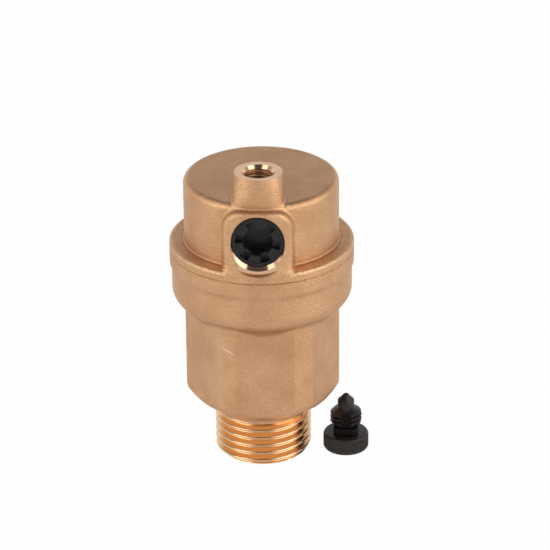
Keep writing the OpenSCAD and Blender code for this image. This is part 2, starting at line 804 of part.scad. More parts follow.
// Plastic vent screw standing on its head: ribbed head, slotted thread, pin and conical tip
module vent_screw() {
    head_r = screw_head_d / 2;
    bevel = 0.3;
    color([0.13, 0.12, 0.12]) translate([screw_x, screw_y, 0]) {
        intersection() {
            linear_extrude(screw_head_h) polygon([
                for (i = [0:2 * screw_ribs - 1])
                    let (r = head_r - (i % 2) * screw_rib_depth, a = 180 / screw_ribs * i)
                    [r * cos(a), r * sin(a)]
            ]);
            rotate_extrude() polygon([
                [0, 0],
                [head_r - bevel, 0],
                [head_r + bevel, 2 * bevel],
                [head_r + bevel, screw_head_h - 2 * bevel],
                [head_r - bevel, screw_head_h],
                [0, screw_head_h]
            ]);
        }
        translate([0, 0, screw_head_h - 0.1]) cylinder(r = screw_core_r, h = screw_shank_h + 0.1);
        translate([0, 0, screw_head_h + screw_neck_h]) difference() {
            cylinder(r = screw_thread_r, h = screw_shank_h - screw_neck_h);
            for (side = [0, 1]) mirror([0, side, 0])
                translate([-screw_slot_w / 2, screw_core_r - 0.15, -over])
                    cube([screw_slot_w, vent_thread_d, screw_shank_h + 2 * over]);
        }
        translate([0, 0, screw_pin_z - 0.1]) cylinder(d = screw_pin_d, h = screw_pin_h + 0.1);
        translate([0, 0, screw_pin_z + screw_pin_h])
            cylinder(d1 = screw_pin_d, d2 = 0.4, h = screw_tip_h);
    }
}

valve_body();
cover();
cover_o_ring();
valve_insert();
valve_nozzle();
insert_front_o_ring();
insert_rear_o_ring();
float_lever();
seal_pad();
lever_pin();
pin_clips();
lever_spring();
float_link();
float_shell();
float_base();
vent_screw();
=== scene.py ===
# %% [markdown]
# Air release valve: the finish
#
# The valve is a cast and machined brass housing with a black plastic insert in its side. Its vent screw has been
# taken off and stands beside it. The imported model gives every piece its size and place. This script gives the
# pieces that show their soft cast edges, their threads and their surfaces, in the same frame, in metres.

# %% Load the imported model
import json
import math

import bpy
import numpy as np
from mathutils import Matrix, Vector


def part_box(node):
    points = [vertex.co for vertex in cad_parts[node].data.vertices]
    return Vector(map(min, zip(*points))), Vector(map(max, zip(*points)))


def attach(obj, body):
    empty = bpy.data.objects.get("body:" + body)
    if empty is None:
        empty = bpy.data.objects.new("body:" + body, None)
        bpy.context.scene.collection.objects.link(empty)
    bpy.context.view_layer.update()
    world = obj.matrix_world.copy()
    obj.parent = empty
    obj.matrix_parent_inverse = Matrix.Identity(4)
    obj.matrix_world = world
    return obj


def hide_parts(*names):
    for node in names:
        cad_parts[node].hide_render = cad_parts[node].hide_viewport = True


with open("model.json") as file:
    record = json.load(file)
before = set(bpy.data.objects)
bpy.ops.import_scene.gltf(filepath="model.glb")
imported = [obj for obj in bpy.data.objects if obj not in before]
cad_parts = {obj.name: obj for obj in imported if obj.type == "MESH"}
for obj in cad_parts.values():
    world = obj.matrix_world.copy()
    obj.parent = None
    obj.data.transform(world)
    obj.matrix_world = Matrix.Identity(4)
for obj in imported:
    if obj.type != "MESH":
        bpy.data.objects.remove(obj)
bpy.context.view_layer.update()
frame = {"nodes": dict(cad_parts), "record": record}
MM = 0.001

# %% [markdown]
# Sizes
#
# Lengths below are in millimetres, because that is how a valve is drawn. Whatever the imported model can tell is
# measured on it: a node's box gives its outside, and the record gives the two threads. Other sizes are named where
# the piece that needs them is made.

# %% Measure the frame
def box_mm(node):
    low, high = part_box(node)
    return low / MM, high / MM


mounts = {mount["name"]: mount for mount in frame["record"]["mounts"]}
_, body_high = box_mm("valve_body")
cover_low, cover_high = box_mm("cover")
insert_low, insert_high = box_mm("valve_insert")
screw_low, screw_high = box_mm("vent_screw")

inlet_r = mounts["inlet_thread"]["dims"]["r_mm"]
tap_r = mounts["vent_screw_hole"]["dims"]["r_mm"]
boss_y = -mounts["vent_screw_hole"]["pos_m"][1] / MM
rim_r = body_high.x
parting_z = body_high.z
skirt_z = cover_low.z
boss_top_z = cover_high.z
side_bore_z = (insert_low.z + insert_high.z) / 2
insert_r = insert_high.x
insert_y = -insert_low.y
print("parting at", round(parting_z, 2), "rim radius", round(rim_r, 2), "vent boss at y", round(-boss_y, 2))

# %% [markdown]
# Camera
#
# The photograph looks down on the valve from the pad's side with a long lens. A lens shift would skew every other
# view, so the camera is turned a little instead: the aim point then lands on its own pixel, left of and below the
# middle of the picture.

# %% Camera
IMAGE_SIDE = 550
FOCAL_PIXELS = 3248.0
AIM_PIXEL = (262.3, 301.7)
aim = Vector((0, 0, 35)) * MM
camera_distance = 704.8 * MM
CAMERA_AZIMUTH, CAMERA_ELEVATION, CAMERA_ROLL = 2.7, 26.1, 0.61


def bearing(azimuth, elevation):
    """The direction from the valve at two angles in degrees, the first from the pad's side."""
    a, e = math.radians(azimuth), math.radians(elevation)
    return Vector((math.sin(a) * math.cos(e), -math.cos(a) * math.cos(e), math.sin(e)))


def add_object(name, data):
    item = bpy.data.objects.new(name, data)
    bpy.context.scene.collection.objects.link(item)
    return item


camera_data = bpy.data.cameras.new("photo_camera")
camera_data.lens = camera_data.sensor_width * FOCAL_PIXELS / IMAGE_SIDE
camera = add_object("photo_camera", camera_data)
bpy.context.scene.camera = camera

back = bearing(CAMERA_AZIMUTH, CAMERA_ELEVATION)
straight = (-back).to_track_quat("-Z", "Y").to_matrix()
half_side = IMAGE_SIDE / 2
aim_in_view = Vector((AIM_PIXEL[0] - half_side, half_side - AIM_PIXEL[1], -FOCAL_PIXELS))
to_pixel = Vector((0, 0, -1)).rotation_difference(aim_in_view).to_matrix()
turn = straight @ Matrix.Rotation(math.radians(CAMERA_ROLL), 3, "Z").transposed() @ to_pixel.transposed()
camera.matrix_world = Matrix.Translation(aim + back * camera_distance) @ turn.to_4x4()
print("lens in mm:", round(camera_data.lens, 1))

# %% [markdown]
# Floor and light
#
# The valve stands on a white table between two tall soft boxes, one on each side of the camera, that reach from the
# table's level to about 57 degrees up: the bright bands on the thread show where they are. A photograph of metal is
# mostly a photograph of what stands round it, so the lamps are real area lights that the brass reflects. The room is
# white at the sides and the back, dim behind the camera and dark overhead, which gives the casting its darker middle
# and the cover its brown top. The camera sees the table as white. The brass sees it a little darker, and part of its
# own shading stays, so it still takes a shadow.

# %% Node helpers
def node_tree(owner):
    owner.use_nodes = True
    owner.node_tree.nodes.clear()
    return owner.node_tree


def set_inputs(tree, node, inputs):
    """Each named or numbered input is set to a value or linked to a socket."""
    for name, value in inputs.items():
        if isinstance(value, bpy.types.NodeSocket):
            tree.links.new(value, node.inputs[name])
        else:
            node.inputs[name].default_value = value


def add_node(tree, kind, inputs=None, **settings):
    node = tree.nodes.new(kind)
    for name, value in settings.items():
        setattr(node, name, value)
    set_inputs(tree, node, inputs or {})
    return node


def math_node(tree, operation, first, second=0.0):
    return add_node(tree, "ShaderNodeMath", {0: first, 1: second}, operation=operation).outputs[0]


def spread(tree, value, low, high, to_low=0.0, to_high=1.0):
    """A value's range from low to high, spread over another range."""
    return add_node(tree, "ShaderNodeMapRange", {"Value": value, "From Min": low, "From Max": high,
                                                 "To Min": to_low, "To Max": to_high}).outputs[0]


# %% Table and room
TABLE_SIDE = 6.0
TABLE_SEEN, TABLE_MIRRORED = 0.985, 0.57
ROOM_FRONT, ROOM_SIDES, ROOM_TOP = 0.28, 1.08, 0.1
FRONT_ENDS, SIDES_START = -0.95, -0.3
WALLS_END, TOP_STARTS = 0.3, 0.77
WHITE, PAPER_GREY = (1, 1, 1, 1), (0.86, 0.86, 0.86, 1)

table_mesh = bpy.data.meshes.new("table")
half_table = TABLE_SIDE / 2
corners = [(x * half_table, y * half_table, 0) for x, y in ((-1, -1), (1, -1), (1, 1), (-1, 1))]
table_mesh.from_pydata(corners, [], [(0, 1, 2, 3)])
table = add_object("table", table_mesh)

table_finish = bpy.data.materials.new("white_table")
tree = node_tree(table_finish)
paper = add_node(tree, "ShaderNodeBsdfDiffuse", {"Color": PAPER_GREY})
glow = add_node(tree, "ShaderNodeEmission", {"Color": WHITE, "Strength": 1.0})
path = add_node(tree, "ShaderNodeLightPath")
in_mirror = math_node(tree, "MAXIMUM", path.outputs["Is Glossy Ray"], path.outputs["Is Transmission Ray"])
share = math_node(tree, "MAXIMUM", math_node(tree, "MULTIPLY", path.outputs["Is Camera Ray"], TABLE_SEEN),
                  math_node(tree, "MULTIPLY", in_mirror, TABLE_MIRRORED))
surface = add_node(tree, "ShaderNodeMixShader", {0: share, 1: paper.outputs[0], 2: glow.outputs[0]})
add_node(tree, "ShaderNodeOutputMaterial", {"Surface": surface.outputs[0]})
table_mesh.materials.append(table_finish)

world = bpy.data.worlds.new("studio")
bpy.context.scene.world = world
tree = node_tree(world)
direction = add_node(tree, "ShaderNodeTexCoord").outputs["Generated"]
toward = add_node(tree, "ShaderNodeSeparateXYZ", {0: direction})
walls = spread(tree, toward.outputs["Y"], FRONT_ENDS, SIDES_START, ROOM_FRONT, ROOM_SIDES)
upward = spread(tree, toward.outputs["Z"], WALLS_END, TOP_STARTS)
room = add_node(tree, "ShaderNodeMix", {0: upward, 2: walls, 3: ROOM_TOP})
from_camera = add_node(tree, "ShaderNodeLightPath").outputs["Is Camera Ray"]
strength = add_node(tree, "ShaderNodeMix", {0: from_camera, 2: room.outputs[0], 3: 1.0})
background = add_node(tree, "ShaderNodeBackground", {"Color": WHITE, "Strength": strength.outputs[0]})
add_node(tree, "ShaderNodeOutputWorld", {"Surface": background.outputs[0]})
bpy.context.scene.view_settings.view_transform = "Standard"
print("table side in m:", TABLE_SIDE)

# %% Soft boxes
def soft_box(name, azimuth, width, watts, elevation=30, distance=0.9, height=0.94):
    """A rectangular lamp that faces the valve, placed by its bearing."""
    lamp = bpy.data.lights.new(name, "AREA")
    lamp.shape = "RECTANGLE"
    lamp.size, lamp.size_y, lamp.energy = width, height, watts
    lamp_object = add_object(name, lamp)
    toward = bearing(azimuth, elevation)
    lamp_object.location = aim + toward * distance
    lamp_object.rotation_euler = toward.to_track_quat("Z", "Y").to_euler()
    print(name, "at", [round(part, 2) for part in lamp_object.location])


soft_box("left_box", azimuth=-55, width=0.64, watts=3.6)
soft_box("right_box", azimuth=57, width=0.86, watts=5.1)

# %% [markdown]
# Castings as distance fields
#
# The body and the cover are castings: no edge on them is sharp, and every corner where two shapes meet has a fillet.
# Bevels on a mesh from booleans break where curved edges meet, and a sculpted mesh would lose the sizes. So each
# casting is written as a distance field, a function that is negative inside and positive outside. Two fields are
# joined or cut with a round blend of a given radius, as a pattern maker runs a fillet along a corner. A grid of
# samples then gives the mesh by surface nets: one point in each cell that the surface passes through, one face
# round each grid line that it crosses. Last, the points are moved onto the true surface.

# %% Fields and their meshes
GRID_MARGIN = 2.37  # not a whole number of steps, so no flat end lies on the grid
MOVES_ONTO_SURFACE, LEAST_SLOPE = 4, 0.2


def soft(radius, turn):
    """The blend that rounds to this radius where surfaces turn by an angle. The two below are exact at 90."""
    return radius * (1 - math.cos(math.radians(turn) / 2)) / (1 - math.sqrt(0.5))


def join(a, b, r):
    """Both shapes together, with a fillet of radius r in the corner between them."""
    return np.maximum(r, np.minimum(a, b)) - np.hypot(np.maximum(r - a, 0), np.maximum(r - b, 0))


def common(a, b, r):
    """What both shapes share, its edge rounded to radius r."""
    return np.minimum(-r, np.maximum(a, b)) + np.hypot(np.maximum(r + a, 0), np.maximum(r + b, 0))


def between(value, low, high):
    return np.maximum(low - value, value - high)


def gradient(field, points, step=0.02):
    return np.stack([(field(*(points + shift).T) - field(*(points - shift).T)) / (2 * step)
                     for shift in step * np.eye(3)], 1)


def net_points(values, cells):
    """The mean crossing of the surface over the edges of each listed cell, in grid steps."""
    total, count = np.zeros((len(cells), 3)), np.zeros(len(cells))
    for axis, unit in enumerate(np.eye(3, dtype=int)):
        for start in (np.array(corner) for corner in np.ndindex(2, 2, 2) if not corner[axis]):
            first, last = values[tuple((cells + start).T)], values[tuple((cells + start + unit).T)]
            crossed = (first < 0) != (last < 0)
            along = np.where(crossed, first / np.where(crossed, first - last, 1), 0)
            total += np.where(crossed[:, None], start + along[:, None] * unit, 0)
            count += crossed
    return cells + total / count[:, None]


def net_faces(values, index):
    """A face round each grid edge that the surface crosses, facing outwards."""
    faces = []
    inside = values < 0
    for axis in range(3):
        u, v = (axis + 1) % 3, (axis + 2) % 3
        steps = values.shape[axis] - 1
        first, last = inside.take(range(steps), axis), inside.take(range(1, steps + 1), axis)
        edges = np.argwhere(first != last)
        edges = edges[(edges[:, u] > 0) & (edges[:, v] > 0)]
        corners = []
        for du, dv in ((1, 1), (0, 1), (0, 0), (1, 0)):
            cell = edges.copy()
            cell[:, u] -= du
            cell[:, v] -= dv
            corners.append(index[tuple(cell.T)])
        quads = np.stack(corners, 1)
        leaving = first[tuple(edges.T)]
        faces.append(np.where(leaving[:, None], quads, quads[:, ::-1]))
    return np.concatenate(faces)


def field_piece(name, field, low, high, step):
    """A closed mesh object of the field's zero surface, sampled over a box in millimetres."""
    low, high = np.array(low, float) - GRID_MARGIN * step, np.array(high, float) + GRID_MARGIN * step
    axes = [np.arange(a, b, step) for a, b in zip(low, high)]
    values = np.broadcast_to(field(*np.ix_(*axes)), [len(axis) for axis in axes]).astype(np.float32)
    inside = (values < 0).astype(np.int8)
    sums = sum(inside[tuple(slice(a, a + length - 1) for a, length in zip(corner, values.shape))]
               for corner in np.ndindex(2, 2, 2))
    cells = np.argwhere((sums > 0) & (sums < 8))
    index = np.full(sums.shape, -1)
    index[tuple(cells.T)] = np.arange(len(cells))
    points = low + step * net_points(values, cells)
    for _ in range(MOVES_ONTO_SURFACE):
        slope = gradient(field, points)
        length = np.maximum((slope ** 2).sum(1), LEAST_SLOPE)
        points = points - np.clip(field(*points.T) / length, -step, step)[:, None] * slope
    return mesh_piece(name, points, net_faces(values, index).tolist())


def mesh_piece(name, points_mm, faces):
    mesh = bpy.data.meshes.new(name)
    mesh.from_pydata((np.asarray(points_mm) * MM).tolist(), [], faces)
    return add_object(name, mesh)


# %% [markdown]
# Turned work and threads
#
# What a lathe makes is a row of rings about an axis. A thread is the same row of rings with a radius that also
# depends on the angle, because its crest climbs by one pitch each turn. One function wraps rings into a closed mesh.
# It makes the turned cutters, the threads and the ribbed screw head alike. Machining the castings with these cutters
# gives crisp edges where the real tools left them.

# %% Rings, threads and cuts
def ring_angles(columns):
    return np.linspace(0, 2 * math.pi, columns, endpoint=False)


def ring_piece(name, radii, heights, hollow=False):
    """A closed mesh about Z through rings of points. Its ends close on the axis, or on each other if hollow."""
    rows, columns = radii.shape
    angle = ring_angles(columns)
    levels = np.broadcast_to(np.asarray(heights, float)[:, None], radii.shape)
    points = np.stack([radii * np.cos(angle), radii * np.sin(angle), levels], -1).reshape(-1, 3)
    here = np.arange(rows * columns).reshape(rows, columns)
    beside = np.roll(here, -1, axis=1)
    above, above_beside = np.roll(here, -1, axis=0), np.roll(beside, -1, axis=0)
    quads = np.stack([here, beside, above_beside, above], -1)
    faces = quads[:rows if hollow else rows - 1].reshape(-1, 4).tolist()
    if not hollow:
        bottom, top = len(points), len(points) + 1
        points = np.vstack([points, [0, 0, heights[0]], [0, 0, heights[-1]]])
        faces += [(bottom, b, a) for a, b in zip(here[0].tolist(), beside[0].tolist())]
        faces += [(top, a, b) for a, b in zip(here[-1].tolist(), beside[-1].tolist())]
    return mesh_piece(name, points, faces)


def turned(name, profile, columns=160):
    """A solid of revolution about Z from (radius, height) pairs that climb the outside."""
    radii, heights = np.array(profile, float).T
    return ring_piece(name, np.repeat(radii[:, None], columns, 1), heights)


def thread_rows(low, high, pitch, crest_r, depth, columns, half_angle=27.5, per_pitch=24):
    """Rings of a right-hand thread with round crests and roots: a radius for each height and angle, and heights."""
    heights = np.linspace(low, high, max(2, round((high - low) / pitch * per_pitch)))
    climb = heights[:, None] / pitch - ring_angles(columns)[None, :] / (2 * math.pi)
    from_crest = pitch * np.minimum(climb % 1, 1 - climb % 1)
    to_middle = np.minimum(from_crest, pitch / 2 - from_crest)
    lean = math.radians(half_angle)
    nose = (pitch / 4 / math.tan(lean) - depth / 2) * math.sin(lean) / (1 - math.sin(lean))
    flank_start = nose * math.cos(lean)
    drop = np.where(to_middle < flank_start, nose - np.sqrt(np.maximum(nose ** 2 - to_middle ** 2, 0)),
                    nose * (1 - math.sin(lean)) + (to_middle - flank_start) / math.tan(lean))
    return crest_r - np.where(from_crest < pitch / 4, drop, depth - drop), heights


def stack_rings(below, radii, heights, above):
    """Plain rings, as (radius, height) pairs, put below and above threaded ones."""
    plain = [np.array([r for r, _ in rings])[:, None] * np.ones(radii.shape[1]) for rings in (below, above)]
    return (np.vstack([plain[0], radii, plain[1]]),
            np.concatenate([[z for _, z in below], heights, [z for _, z in above]]))


def arc(centre, radius, start, end, steps=8):
    """Points of an arc in a profile, angles in degrees from the outward radius."""
    angles = np.radians(np.linspace(start, end, steps + 1))
    return [(centre[0] + radius * math.cos(a), centre[1] + radius * math.sin(a)) for a in angles]


def machine(piece, tool, operation="DIFFERENCE"):
    """Cuts, joins or trims a piece with a tool, which is used up."""
    modifier = piece.modifiers.new("machining", "BOOLEAN")
    modifier.object, modifier.operation, modifier.solver = tool, operation, "MANIFOLD"
    depsgraph = bpy.context.evaluated_depsgraph_get()
    result = bpy.data.meshes.new_from_object(piece.evaluated_get(depsgraph))
    result.materials.clear()
    piece.modifiers.clear()
    piece.data = result
    bpy.data.objects.remove(tool)


def place(piece, matrix):
    piece.data.transform(matrix)
    return piece


def block(name, low, high):
    """A box between two corners, in millimetres."""
    points = [(x, y, z) for x in (low[0], high[0]) for y in (low[1], high[1]) for z in (low[2], high[2])]
    sides = [(0, 1, 3, 2), (4, 6, 7, 5), (0, 4, 5, 1), (2, 3, 7, 6), (0, 2, 6, 4), (1, 5, 7, 3)]
    return mesh_piece(name, points, sides)


def slab(name, low_z, high_z, half_side=30):
    """A facing cutter, wider than the valve."""
    return block(name, (-half_side, -half_side, low_z), (half_side, half_side, high_z))


def shade(piece, sharp_angle=32):
    """Smooth, but with an edge where two faces turn by more than the angle."""
    piece.data.shade_smooth()
    piece.data.set_sharp_from_angle(angle=math.radians(sharp_angle))


# %% [markdown]
# Body casting
#
# From the top: a rim that the cover closes on, a collar with a full round under it, a short cone where the spanner
# hexagon starts, the hexagon with its turned corners, a sloping shoulder and the stub for the thread. The hexagon is
# so blunt that its edges show only as soft bands, and the cone leaves an arc above each flat, darkened further by
# painted shade.

# %% Body field
collar_r, collar_round = 19.42, 3.4
step_z, collar_z = 44.877, 36.277
hex_half, hex_corner_r, hex_turn = 15.5, 16.7, math.radians(4.8)
hex_edge = soft(0.45, 22)
cone_r, cone_blend, cone_lean, cone_hidden = 16.9, 0.4, math.radians(34), 1.0
neck_r, neck_z, shoulder_z = 10.55, 10.75, 11.3
shoulder_slope = math.radians(35)
shoulder_edge, neck_fillet, neck_edge = soft(1.7, 55), soft(1.2, 55), soft(0.8, 45)
collar_fillet, rim_edge, rim_fillet = 0.7, soft(1.0, 45), soft(1.9, 45)
facing, neck_end_h = 2.0, 1.35
neck_end_z = neck_z - neck_end_h
BODY_GRID = 0.34


def off_flats(x, y):
    """How far a point lies outside the hexagon's flats."""
    return np.max([abs(x * math.cos(a) + y * math.sin(a)) for a in hex_turn + np.radians([30, 90, 150])], 0) - hex_half


def body_field(x, y, z):
    out = np.hypot(x, y)
    hexagon = common(off_flats(x, y), out - hex_corner_r, hex_edge)
    shoulder = (out - neck_r) * math.sin(shoulder_slope) - (z - shoulder_z) * math.cos(shoulder_slope)
    lower = common(hexagon, shoulder, shoulder_edge)
    neck_end = ((out - neck_r) + (neck_z - z)) * math.sqrt(0.5)
    lower = join(lower, common(out - neck_r, neck_end, neck_edge), neck_fillet)
    cone = (out - cone_r) * math.cos(cone_lean) + (collar_z - z) * math.sin(cone_lean)
    lower = join(lower, np.maximum(cone, z - collar_z - cone_hidden), cone_blend)
    collar = common(out - collar_r, collar_z - z, collar_round)
    rim_slope = ((out - collar_r) - (z - step_z)) * math.sqrt(0.5)
    upper = join(collar, common(out - rim_r, rim_slope, rim_edge), rim_fillet)
    casting = join(lower, upper, collar_fillet)
    return np.maximum(casting, between(z, neck_end_z, parting_z + facing))


body = field_piece("body", body_field, (-rim_r, -rim_r, neck_end_z), (rim_r, rim_r, parting_z + facing), BODY_GRID)
print("body casting faces:", len(body.data.polygons))

# %% [markdown]
# Machining the body
#
# The parting face is faced flat, a fine groove is left at its edge, the inlet thread is joined to the neck, and the
# chamber and the cover's thread are bored from above. Four ribs stay on the chamber floor so that the float never
# shuts the inlet: they are taken out of the chamber's cutter before it is used.

# %% Body machining
INLET_PITCH, INLET_DEPTH, INLET_START = 1.814, 1.162, math.radians(-26)
INLET_COLUMNS, JOINT_COLUMNS, GROOVE_COLUMNS = 180, 120, 360
inlet_chamfer, inlet_bore_r, inlet_overlap = 1.15, 6.5, 0.3
chamber_r, joint_r, joint_pitch, joint_depth = 13.6, 17.5, 1.5, 0.55
floor_wall, rib_t, rib_rise = 2.2, 1.6, 0.6
ring_seat_h, ring_seat_r = 1.8, 18.6
skirt_gap, rib_clear = 0.3, 0.4
groove_depth, groove_uneven, groove_half, groove_smoothing = 0.2, 0.05, 0.4, 7
BEYOND, FACING_CUT = 1.0, 5.0


def floor_height(r):
    return shoulder_z + (r - neck_r) * math.tan(shoulder_slope) + floor_wall / math.cos(shoulder_slope)


def parting_groove():
    """A cutter for the fine line between cover and body, its depth a little uneven."""
    uneven = np.random.default_rng(7).normal(size=GROOVE_COLUMNS)
    window = np.ones(groove_smoothing) / groove_smoothing
    uneven = np.convolve(np.tile(uneven, 3), window, "same")[GROOVE_COLUMNS:2 * GROOVE_COLUMNS]
    tip = rim_r - groove_depth - groove_uneven * np.clip(uneven, -1, 1)
    outside = np.full(GROOVE_COLUMNS, rim_r + groove_half)
    levels = [parting_z - groove_half, parting_z + groove_half, parting_z]
    return ring_piece("parting_groove", np.array([outside, outside, tip]), levels, hollow=True)


machine(body, slab("above_parting", parting_z, parting_z + FACING_CUT))
machine(body, parting_groove())

inlet_radii, inlet_heights = thread_rows(0, neck_z + inlet_overlap, INLET_PITCH, inlet_r, INLET_DEPTH, INLET_COLUMNS,
                                         per_pitch=20)
end_bevel = inlet_r - inlet_chamfer + inlet_heights[:, None]
inlet_thread = ring_piece("inlet_thread", np.minimum(inlet_radii, end_bevel), inlet_heights)
machine(body, place(inlet_thread, Matrix.Rotation(INLET_START, 4, "Z")), "UNION")

joint_radii, joint_heights = thread_rows(skirt_z - skirt_gap, parting_z - ring_seat_h, joint_pitch,
                                         joint_r + joint_depth, joint_depth, JOINT_COLUMNS, per_pitch=10)
below = [(inlet_bore_r, -BEYOND), (inlet_bore_r, floor_height(inlet_bore_r)), (chamber_r, floor_height(chamber_r)),
         (chamber_r, skirt_z - skirt_gap)]
above = [(ring_seat_r, parting_z - ring_seat_h), (ring_seat_r, parting_z + BEYOND)]
chamber = ring_piece("chamber", *stack_rings(below, joint_radii, joint_heights, above))
rib_in, rib_out = inlet_bore_r + rib_clear, chamber_r + BEYOND
rib_top = floor_height(chamber_r) + rib_rise
for rib in range(4):
    bar = block("rib", (rib_in, -rib_t / 2, 0), (rib_out, rib_t / 2, rib_top))
    place(bar, Matrix.Rotation(math.radians(45 + 90 * rib), 4, "Z"))
    machine(chamber, bar)
machine(body, chamber)
print("body faces:", len(body.data.polygons))

# %% [markdown]
# Cover casting
#
# A flanged dome with a vent boss near its front edge and an arched pad below it. The boss leans out at its foot until
# the dome's own line trims it. The pad's face is round about the valve's axis, like the dome, and swells into a small
# apron at the bottom, and only the bore's spot face on it is flat. The flange has a bevel in front of the pad that
# fades out to both sides. The fillets between these are what makes it read as a casting, so each has its own radius.

# %% Cover field
cover_r, top_z, edge_round = 16.64, 65.017, 1.4
ledge_z, flange_round, foot_fillet = 50.767, 0.75, 0.4
roof_z = 62.817
boss_r, boss_draft, boss_fillet = 5.13, 0.3, 0.5
boss_foot, boss_front_r, boss_front_round = 1.9, 16.85, 1.3
pad_half, pad_r, pad_rise = 7.45, 18.8, 6.95
pad_top_z = side_bore_z + pad_rise
pad_corner, pad_round, pad_fillet, pad_draft = 4.2, 0.9, 0.55, 0.03
pad_apron, apron_h = 0.4, 3.0
bevel_z, bevel_half, bevel_fade, bevel_blend = 49.05, 4.0, 0.45, 0.4
DEEP_INSIDE = -5
COVER_GRID = 0.23


def cover_field(x, y, z):
    out = np.hypot(x, y)
    dome = common(out - cover_r, z - top_z, edge_round)
    bevel = (out - rim_r + z - bevel_z - bevel_fade * np.maximum(abs(x) - bevel_half, 0)) * math.sqrt(0.5)
    flange = common(out - rim_r, z - ledge_z, flange_round)
    flange = common(flange, np.where(y < 0, bevel, DEEP_INSIDE), bevel_blend)
    shell = join(dome, flange, foot_fillet)
    down_boss = (boss_top_z - z) / (boss_top_z - top_z)
    foot = np.clip(-(y + boss_y), 0, boss_foot * np.clip(down_boss, 0, 1))
    boss = np.maximum(np.hypot(x, y + boss_y + foot) - boss_r - boss_draft * down_boss, roof_z - z)
    boss = common(boss, out - boss_front_r, boss_front_round)
    shell = join(shell, boss, boss_fillet)
    arch = common(abs(x) - pad_half, z - pad_top_z, pad_corner)
    apron = pad_apron * np.clip((ledge_z + apron_h - z) / apron_h, 0, 1) ** 2
    pad = np.maximum(common(arch, out - pad_r - apron + pad_draft * (z - side_bore_z), pad_round), y)
    shell = join(shell, pad, pad_fillet)
    return np.maximum(shell, between(z, parting_z - facing, boss_top_z + facing))


cover = field_piece("cover_casting", cover_field, (-rim_r, -rim_r, parting_z - facing),
                    (rim_r, rim_r, boss_top_z + facing), COVER_GRID)
print("cover casting faces:", len(cover.data.polygons))

# %% [markdown]
# Machining the cover
#
# Facing cuts make the parting face and the boss's bright top. The dome is bored out round the valve block and its two
# ears. The side bore gets its spot face, a stop and a lip that holds the insert's shoulder. The lip's chamfer is the
# bright crescent below the insert. The vent hole gets its thread, its chamfer and its seat.

# %% Cover machining
VENT_PITCH, VENT_DEPTH, VENT_CHAMFER, VENT_LEAN = 1.0, 0.54, 0.75, 0.88
VENT_COLUMNS, SIDE_BORE_COLUMNS, PIN_COLUMNS = 96, 192, 48
cover_wall, skirt_wall, thread_gap = 2.1, 2.25, 0.05
spot_y, spot_r = 18.6, 7.3
side_bore_r, lip_r, mouth_r, mouth_lean = 5.75, 5.55, 6.25, 1.25
head_len = 0.7
lip_y, lip_chamfer_y = insert_y - head_len, spot_y - mouth_lean * (mouth_r - lip_r)
stop_y, block_y, spigot_r, block_r = 8.11, 7.41, 4.42, 7.8
pivot_y, pivot_z, hub_r, pin_r = 3.96, 51.367, 1.9, 0.82
ear_in, ear_out = 4.1, 5.7
vent_thread_h, vent_pin_r, vent_port_r, seat_wall = 5.4, 2.0, 1.0, 0.4
vent_thread_z = boss_top_z - vent_thread_h
seat_z = side_bore_z + side_bore_r + seat_wall
along_side_bore = Matrix.Translation((0, 0, side_bore_z * MM)) @ Matrix.Rotation(math.pi / 2, 4, "X")
along_pivot = Matrix.Translation((0, -pivot_y * MM, pivot_z * MM)) @ Matrix.Rotation(math.pi / 2, 4, "Y")

machine(cover, slab("below_parting", parting_z - FACING_CUT, parting_z))
machine(cover, slab("above_boss", boss_top_z, boss_top_z + FACING_CUT))
machine(cover, parting_groove())

dome_bore_r, skirt_r = cover_r - cover_wall, joint_r - thread_gap
skirt_bore_r = skirt_r - skirt_wall
hollow = turned("dome_bore", [(skirt_bore_r, skirt_z - BEYOND), (skirt_bore_r, parting_z), (dome_bore_r, parting_z)]
                + arc((dome_bore_r - edge_round, roof_z - edge_round), edge_round, 0, 90))
machine(hollow, place(turned("valve_block", [(block_r, block_y), (block_r, spot_y)]), along_side_bore))
base_z = pivot_z - hub_r
machine(hollow, block("block_base", (-ear_out, -spot_y, base_z), (ear_out, -block_y, side_bore_z)))
for side in (-1, 1):
    ear_x = sorted((side * ear_in, side * ear_out))
    machine(hollow, block("ear", (ear_x[0], -block_y - BEYOND, base_z), (ear_x[1], -pivot_y, pivot_z + hub_r)))
    machine(hollow, place(turned("ear_eye", [(hub_r, x) for x in ear_x], PIN_COLUMNS), along_pivot))
machine(cover, hollow)

skirt_radii, skirt_heights = thread_rows(skirt_z, parting_z - ring_seat_h, joint_pitch, skirt_r, joint_depth,
                                         JOINT_COLUMNS, per_pitch=10)
ring_groove_r = 16.94
skirt_ends = [(ring_groove_r, parting_z - ring_seat_h), (ring_groove_r, parting_z + facing),
              (skirt_bore_r, parting_z + facing), (skirt_bore_r, skirt_z)]
skirt = ring_piece("skirt", *stack_rings([], skirt_radii, skirt_heights, skirt_ends), hollow=True)
machine(cover, skirt, "UNION")

side_bore = turned("side_bore", [
    (spigot_r, block_y - BEYOND), (spigot_r, stop_y), (side_bore_r, stop_y), (side_bore_r, lip_y), (lip_r, lip_y),
    (lip_r, lip_chamfer_y), (mouth_r, spot_y), (spot_r, spot_y), (spot_r, spot_y + 2 * BEYOND)], SIDE_BORE_COLUMNS)
machine(cover, place(side_bore, along_side_bore))

